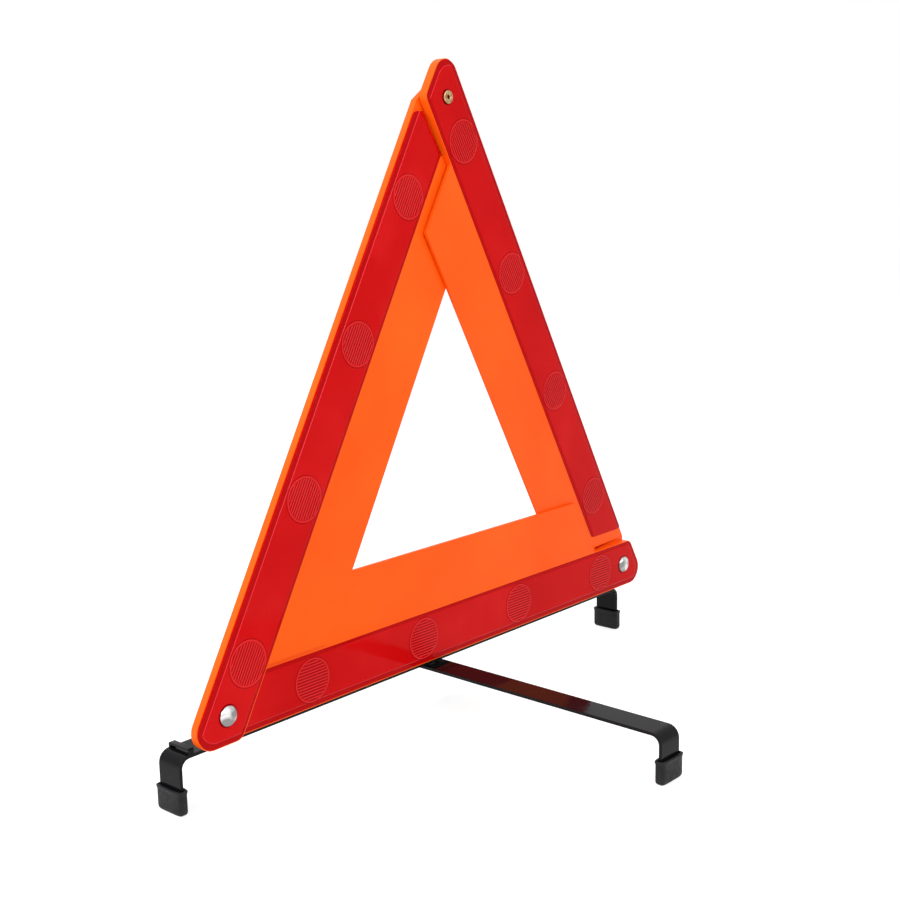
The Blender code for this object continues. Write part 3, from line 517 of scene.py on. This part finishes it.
def tray_points(points, arm):
    """A tray's points, worked over in the arm's frame.

    The front rim is let back under the lens's lip. The flange's ends move along the arm, nearer to the arms
    next to it. The tongue's round end draws in to a smaller circle about its pivot. On the left arm the wall
    of the open notch keeps its line: its end slides along it until it meets the smaller circle.
    """
    axes, corner = ARMS[arm]
    u, v, w = ((points - corner) @ axes).T
    w = np.where(w < RIM_BAND, rim_front(arm, u, v), w)
    out_v = v - PIVOT_V
    from_axis = (u - SIDE + PIVOT_U - out_v * SQRT3) / 2
    on_flange = v > STRIP_WIDTH + FLANGE_BAND
    start = (STRIP_WIDTH + FLANGE_CLEARANCE) * 2 / SQRT3 + v / SQRT3
    at_start = on_flange & (np.abs(u - start) < FLANGE_START_BAND)
    at_tail = on_flange & (np.abs(u - TAIL_START + v / SQRT3) < FLANGE_TAIL_BAND)
    u = np.where(at_tail, u + FLANGE_REACH, np.where(at_start, u - FLANGE_ADVANCES[arm], u))
    out_u = u - SIDE + PIVOT_U
    radius = np.hypot(out_u, out_v)
    at_end = (out_u > -TONGUE_BAND) & (radius > TONGUE_LEAST)
    share = np.where(at_end, TONGUE_RADIUS / np.maximum(radius, TONGUE_LEAST), 1.0)
    out_u, out_v = out_u * share, out_v * share
    if arm == "left":
        on_wall = at_end & (np.abs(from_axis - HOLE_RADIUS) < TONGUE_BAND)
        along = math.sqrt(TONGUE_RADIUS ** 2 - HOLE_RADIUS ** 2)
        out_u = np.where(on_wall, HOLE_RADIUS / 2 + along * SQRT3 / 2, out_u)
        out_v = np.where(on_wall, along / 2 - HOLE_RADIUS * SQRT3 / 2, out_v)
    return placed(np.column_stack((out_u + SIDE - PIVOT_U, out_v + PIVOT_V, w)), (axes, corner))


def slice_tray(shape, arm):
    """Cuts a tray's faces just past the strip's inner edge and just past its tail.

    The flange's ends and the tongue can then move by themselves.
    """
    axes, corner = ARMS[arm]
    for axis, distance in ((1, STRIP_WIDTH + FLANGE_CUT), (0, TAIL_START + TONGUE_CUT)):
        normal = axes[:, axis]
        bmesh.ops.bisect_plane(shape, geom=shape.verts[:] + shape.edges[:] + shape.faces[:], dist=CUT_MERGE,
                               plane_co=(corner + normal * distance).tolist(), plane_no=normal.tolist())


def softened(name, node, width, arm=None):
    """Copy of a solid with its points merged, its flat faces joined and its edges rounded by a small bevel.

    Where an arm is given, the copy is that arm's tray, and its points are worked over by tray_points.
    """
    source = frame["nodes"][node].data
    corners = np.empty(len(source.vertices) * 3, np.float32)
    source.vertices.foreach_get("co", corners)
    source.calc_loop_triangles()
    triangles = np.empty(len(source.loop_triangles) * 3, np.int32)
    source.loop_triangles.foreach_get("vertices", triangles)
    mesh = bpy.data.meshes.new(name)
    mesh.from_pydata(corners.reshape(-1, 3).tolist(), [], triangles.reshape(-1, 3).tolist())
    shape = bmesh.new()
    shape.from_mesh(mesh)
    bmesh.ops.remove_doubles(shape, verts=shape.verts, dist=SOLID_MERGE)
    bmesh.ops.dissolve_limit(shape, angle_limit=math.radians(FLAT_ANGLE), verts=shape.verts,
                             edges=shape.edges)
    if arm is not None:
        slice_tray(shape, arm)
    shape.to_mesh(mesh)
    shape.free()
    piece = bpy.data.objects.new(name, mesh)
    bpy.context.scene.collection.objects.link(piece)
    if arm is not None:
        mesh.vertices.foreach_set("co", tray_points(vertex_array(piece), arm).astype(np.float32).ravel())
        mesh.update()
    mesh.shade_smooth()
    mesh.set_sharp_from_angle(angle=math.radians(SHARP_ANGLE))
    bevel = piece.modifiers.new("rounded_edges", "BEVEL")
    bevel.width = width
    bevel.segments = BEVEL_SEGMENTS
    bevel.limit_method = "ANGLE"
    bevel.angle_limit = math.radians(SHARP_ANGLE)
    bevel.use_clamp_overlap = True
    return piece


def new_finish(name, colour, roughness, metallic=0.0, specular=0.5):
    """Material with one shader; returns it with its node tree, its shader and its object coordinates."""
    made = bpy.data.materials.new(name)
    made.use_nodes = True
    tree = made.node_tree
    shader = tree.nodes["Principled BSDF"]
    shader.inputs["Base Color"].default_value = (*colour, 1.0)
    shader.inputs["Roughness"].default_value = roughness
    shader.inputs["Metallic"].default_value = metallic
    shader.inputs["Specular IOR Level"].default_value = specular
    place = tree.nodes.new("ShaderNodeTexCoord").outputs["Object"]
    return made, tree, shader, place


def noise(tree, place, scale, detail=3.0):
    """Fractal noise over a place, from 0 to 1 about a middle of 0.5; scale is in waves per metre."""
    node = tree.nodes.new("ShaderNodeTexNoise")
    node.inputs["Scale"].default_value = scale
    node.inputs["Detail"].default_value = detail
    tree.links.new(place, node.inputs["Vector"])
    return node.outputs["Fac"]


def ramp(tree, source, stops):
    """Colour ramp over a value: stops are (position, colour)."""
    node = tree.nodes.new("ShaderNodeValToRGB")
    for element, (position, colour) in zip(node.color_ramp.elements, (stops[0], stops[-1])):
        element.position = position
        element.color = (*colour, 1.0)
    for position, colour in stops[1:-1]:
        node.color_ramp.elements.new(position).color = (*colour, 1.0)
    tree.links.new(source, node.inputs["Fac"])
    return node.outputs["Color"]


def spread(tree, source, low, high, start=0.3, end=0.7):
    """Value mapped from start..end to low..high."""
    node = tree.nodes.new("ShaderNodeMapRange")
    for label, value in (("From Min", start), ("From Max", end), ("To Min", low), ("To Max", high)):
        node.inputs[label].default_value = value
    tree.links.new(source, node.inputs["Value"])
    return node.outputs["Result"]


def blend(tree, amount, first, second):
    """Mix of two colours: first at an amount of 0, a fixed second colour at 1."""
    node = tree.nodes.new("ShaderNodeMix")
    node.data_type = "RGBA"
    # In a mix of colours, input 0 is the amount, inputs 6 and 7 are the colours, and output 2 is the result.
    tree.links.new(amount, node.inputs[0])
    tree.links.new(first, node.inputs[6])
    node.inputs[7].default_value = (*second, 1.0)
    return node.outputs[2]


def relief(tree, shader, source, strength, distance):
    """Fine bump on a shader: source is the height, distance its full depth in metres."""
    node = tree.nodes.new("ShaderNodeBump")
    node.inputs["Strength"].default_value = strength
    node.inputs["Distance"].default_value = distance
    tree.links.new(source, node.inputs["Height"])
    tree.links.new(node.outputs["Normal"], shader.inputs["Normal"])


def orange_moulding():
    """Fluorescent orange moulded plastic with faint flow marks and a fine satin grain."""
    made, tree, shader, place = new_finish("orange_moulding", (1.0, 0.11, 0.004), 0.36, specular=0.12)
    flow = noise(tree, place, 14.0, 2.0)
    colour = ramp(tree, flow, ((0.30, (1.0, 0.096, 0.002)), (0.70, (1.0, 0.122, 0.005))))
    tree.links.new(colour, shader.inputs["Base Color"])
    tree.links.new(spread(tree, noise(tree, place, 120.0), 0.30, 0.42), shader.inputs["Roughness"])
    relief(tree, shader, noise(tree, place, 1800.0, 2.0), 0.10, 0.0001)
    return made


def red_reflector():
    """Glossy red lens with fine prism cells behind the face and soft cloudy shades.

    The border is darker, with a painted highlight on the step inside it. The discs have painted highlights on
    rings and rib crests and painted shade in rib hollows and grooves; a painted shadow lies in the seat.
    """
    made, tree, shader, place = new_finish("red_reflector", (0.60, 0.003, 0.004), 0.12, specular=0.05)
    cells = tree.nodes.new("ShaderNodeTexVoronoi")
    cells.inputs["Scale"].default_value = 620.0
    tree.links.new(place, cells.inputs["Vector"])
    clouds = noise(tree, place, 16.0, 2.0)
    body = ramp(tree, clouds, ((0.30, (0.56, 0.001, 0.002)), (0.55, (0.62, 0.003, 0.004)),
                               (0.74, (0.70, 0.009, 0.010))))
    grain = spread(tree, cells.outputs["Distance"], 0.0, 0.14, 0.0, 0.9)
    body = blend(tree, grain, body, (0.42, 0.0, 0.001))
    # In turn: the darker border, the painted highlight on the step, painted highlights on rings and rib
    # crests, then painted shade in rib hollows and grooves together with the painted shadow in the seat.
    for name, colour, start, end, most in (("border", (0.43, 0.0, 0.001), 0.0, 1.0, 0.80),
                                           ("painted_step_highlight", (0.95, 0.060, 0.085), 0.2, 1.0, 0.75),
                                           ("painted_light_and_shade", (0.86, 0.045, 0.052), 0.0, 1.0, 0.66),
                                           ("painted_light_and_shade", (0.30, 0.0, 0.001), 0.0, -1.0, 0.92)):
        share = tree.nodes.new("ShaderNodeAttribute")
        share.attribute_name = name
        body = blend(tree, spread(tree, share.outputs["Fac"], 0.0, most, start, end), body, colour)
    tree.links.new(body, shader.inputs["Base Color"])
    tree.links.new(spread(tree, noise(tree, place, 60.0), 0.08, 0.16), shader.inputs["Roughness"])
    relief(tree, shader, cells.outputs["Distance"], 0.04, 0.0002)
    return made


def bright_plating():
    """Pale zinc-plated steel, a little uneven in gloss and surface; its patches of tone are partly the
    plating's own and partly painted shade on the domed heads.
    """
    made, tree, shader, place = new_finish("bright_plating", (0.62, 0.62, 0.61), 0.24, metallic=1.0)
    # Dark and pale patches: partly the plating's own uneven tone, partly painted shade on the domes.
    tone = ramp(tree, noise(tree, place, 170.0, 0.5), ((0.40, (0.24, 0.24, 0.24)), (0.52, (0.50, 0.50, 0.49)),
                                                       (0.62, (0.70, 0.70, 0.69))))
    tree.links.new(tone, shader.inputs["Base Color"])
    tree.links.new(spread(tree, noise(tree, place, 260.0), 0.18, 0.32), shader.inputs["Roughness"])
    relief(tree, shader, noise(tree, place, 200.0, 0.5), 0.18, 0.0004)
    return made


def turned_brass():
    """Plain brass, a little tarnished in patches."""
    made, tree, shader, place = new_finish("turned_brass", (0.62, 0.44, 0.22), 0.28, metallic=1.0)
    tone = ramp(tree, noise(tree, place, 420.0), ((0.38, (0.30, 0.19, 0.08)), (0.62, (0.58, 0.41, 0.21))))
    tree.links.new(tone, shader.inputs["Base Color"])
    tree.links.new(spread(tree, noise(tree, place, 300.0), 0.20, 0.38), shader.inputs["Roughness"])
    relief(tree, shader, noise(tree, place, 700.0, 1.0), 0.15, 0.0002)
    return made


def gloss_black():
    """Gloss black paint with a light orange peel and a few pale scuffs."""
    made, tree, shader, place = new_finish("gloss_black", (0.005, 0.005, 0.006), 0.10, specular=0.10)
    marks = ramp(tree, noise(tree, place, 95.0, 5.0), ((0.68, (0.005, 0.005, 0.006)),
                                                      (0.74, (0.034, 0.032, 0.030))))
    tree.links.new(marks, shader.inputs["Base Color"])
    tree.links.new(spread(tree, noise(tree, place, 70.0, 4.0), 0.05, 0.14), shader.inputs["Roughness"])
    relief(tree, shader, noise(tree, place, 520.0, 1.0), 0.06, 0.0003)
    return made


def moulded_rubber():
    """Matt black rubber with a fine grain and slightly greyed patches."""
    made, tree, shader, place = new_finish("moulded_rubber", (0.010, 0.010, 0.011), 0.50, specular=0.18)
    tone = ramp(tree, noise(tree, place, 160.0), ((0.35, (0.007, 0.007, 0.008)),
                                                  (0.70, (0.014, 0.014, 0.015))))
    tree.links.new(tone, shader.inputs["Base Color"])
    tree.links.new(spread(tree, noise(tree, place, 380.0), 0.42, 0.62), shader.inputs["Roughness"])
    relief(tree, shader, noise(tree, place, 2600.0, 2.0), 0.25, 0.0001)
    return made


def dress(piece, finish, body, slot, *nodes):
    """Give a new piece its finish and body, and hide the solids it stands for."""
    piece.data.materials.clear()
    piece.data.materials.append(finish)
    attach(piece, body)
    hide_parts(*nodes)


def seen_directly(tree):
    """1 for rays from the camera, from a reflection or through glass; 0 for the light on other things."""
    path = tree.nodes.new("ShaderNodeLightPath")
    total = path.outputs["Is Camera Ray"]
    for label in ("Is Glossy Ray", "Is Transmission Ray"):
        larger = tree.nodes.new("ShaderNodeMath")
        larger.operation = "MAXIMUM"
        tree.links.new(total, larger.inputs[0])
        tree.links.new(path.outputs[label], larger.inputs[1])
        total = larger.outputs[0]
    return total


def make_floor():
    """Wide pale floor that shows white and keeps a light shadow."""
    corners = ((-FLOOR_HALF, -FLOOR_HALF), (FLOOR_HALF, -FLOOR_HALF), (FLOOR_HALF, FLOOR_HALF),
               (-FLOOR_HALF, FLOOR_HALF))
    points = np.array([(x, y, -FLOOR_DROP) for x, y in corners])
    floor = mesh_piece("pale_floor", points, [[0, 1, 2, 3]])
    made = bpy.data.materials.new("pale_floor")
    made.use_nodes = True
    tree = made.node_tree
    tree.nodes.clear()
    matt = tree.nodes.new("ShaderNodeBsdfDiffuse")
    matt.inputs["Color"].default_value = (FLOOR_TONE, FLOOR_TONE, FLOOR_TONE, 1.0)
    glow = tree.nodes.new("ShaderNodeEmission")
    tree.links.new(spread(tree, seen_directly(tree), 0.0, FLOOR_GLOW, 0.0, 1.0), glow.inputs["Strength"])
    both = tree.nodes.new("ShaderNodeAddShader")
    tree.links.new(matt.outputs[0], both.inputs[0])
    tree.links.new(glow.outputs[0], both.inputs[1])
    out = tree.nodes.new("ShaderNodeOutputMaterial")
    tree.links.new(both.outputs[0], out.inputs["Surface"])
    floor.data.materials.append(made)


def make_light():
    """Surroundings that show white but light the object at SKY_LEVEL, and four soft lamps."""
    world = bpy.data.worlds.new("studio")
    bpy.context.scene.world = world
    world.use_nodes = True
    tree = world.node_tree
    sky = tree.nodes["Background"]
    sky.inputs["Color"].default_value = (1.0, 1.0, 1.0, 1.0)
    tree.links.new(spread(tree, seen_directly(tree), SKY_LEVEL, 1.0, 0.0, 1.0), sky.inputs["Strength"])
    for name, spot, power, size in LAMPS:
        data = bpy.data.lights.new(name, "AREA")
        data.energy = power
        data.size = size
        lamp = bpy.data.objects.new(name, data)
        bpy.context.scene.collection.objects.link(lamp)
        lamp.location = spot
        lamp.rotation_mode = "QUATERNION"
        lamp.rotation_quaternion = (Vector(LAMP_AIM) - Vector(spot)).to_track_quat("-Z", "Y")


def make_camera():
    """Camera at the photograph's place: its axes are the fitted right, up and backward directions."""
    data = bpy.data.cameras.new("camera")
    data.sensor_width = CAMERA_SENSOR
    data.lens = CAMERA_LENS
    backward = np.cross(CAMERA_RIGHT, CAMERA_UP)
    place = np.eye(4)
    place[:3, :3] = np.column_stack((CAMERA_RIGHT, CAMERA_UP, backward))
    place[:3, 3] = CAMERA_PLACE
    camera = bpy.data.objects.new("camera", data)
    camera.matrix_world = Matrix(place.tolist())
    bpy.context.scene.collection.objects.link(camera)
    bpy.context.scene.camera = camera


def dress_triangle():
    """Makes every new piece, with its finish and body, and gives the solids that stay their plating."""
    orange = orange_moulding()
    red = red_reflector()
    plating = bright_plating()
    brass = turned_brass()
    black = gloss_black()
    rubber = moulded_rubber()
    body_of = {"base": "base_and_stand", "left": "left_arm", "right": "right_arm"}
    for arm, body in body_of.items():
        tray = softened(arm + "_moulded_tray", arm + "_arm_tray", TRAY_BEVEL, arm)
        dress(tray, orange, body, "orange_plastic", arm + "_arm_tray")
        dress(make_lens(arm), red, body, "red_lens", arm + "_lens")
    for label, arm in (("left", "left"), ("right", "base")):
        rivet = make_rivet(label + "_domed_rivet", arm)
        dress(rivet, plating, "base_and_stand", "plated_steel", label + "_corner_rivet")
    dress(make_stud(), brass, "right_arm", "stud_brass", "apex_stud")
    dress(softened("bent_bar", "stand_bar", STEEL_BEVEL), black, "base_and_stand", "black_steel", "stand_bar")
    dress(softened("bent_leg", "stand_leg", STEEL_BEVEL), black, "leg", "black_steel", "stand_leg")
    swivel = np.array(JOINTS["leg_swivel"]["pos_m"])
    swivel[2] = 0.0
    out = np.array((BAR_HALF_LENGTH, 0.0, 0.0))
    away = np.array((math.cos(LEG_ANGLE), math.sin(LEG_ANGLE), 0.0)) * LEG_LENGTH
    for name, body, spot, turn in (("left_foot", "base_and_stand", swivel - out, math.pi),
                                   ("right_foot", "base_and_stand", swivel + out, 0.0),
                                   ("leg_foot", "leg", swivel + away, LEG_ANGLE)):
        dress(make_cap(name + "_rubber", spot, turn), rubber, body, "foot_rubber", name + "_cap")
    for node in ("left_rivet_washer", "right_rivet_washer", "leg_pivot_rivet", "leg_washer",
                 "left_stand_screw", "right_stand_screw"):
        solid = frame["nodes"][node].data
        solid.materials.clear()
        solid.materials.append(plating)


dress_triangle()
make_floor()
make_light()
make_camera()
bpy.context.scene.view_settings.view_transform = "Standard"
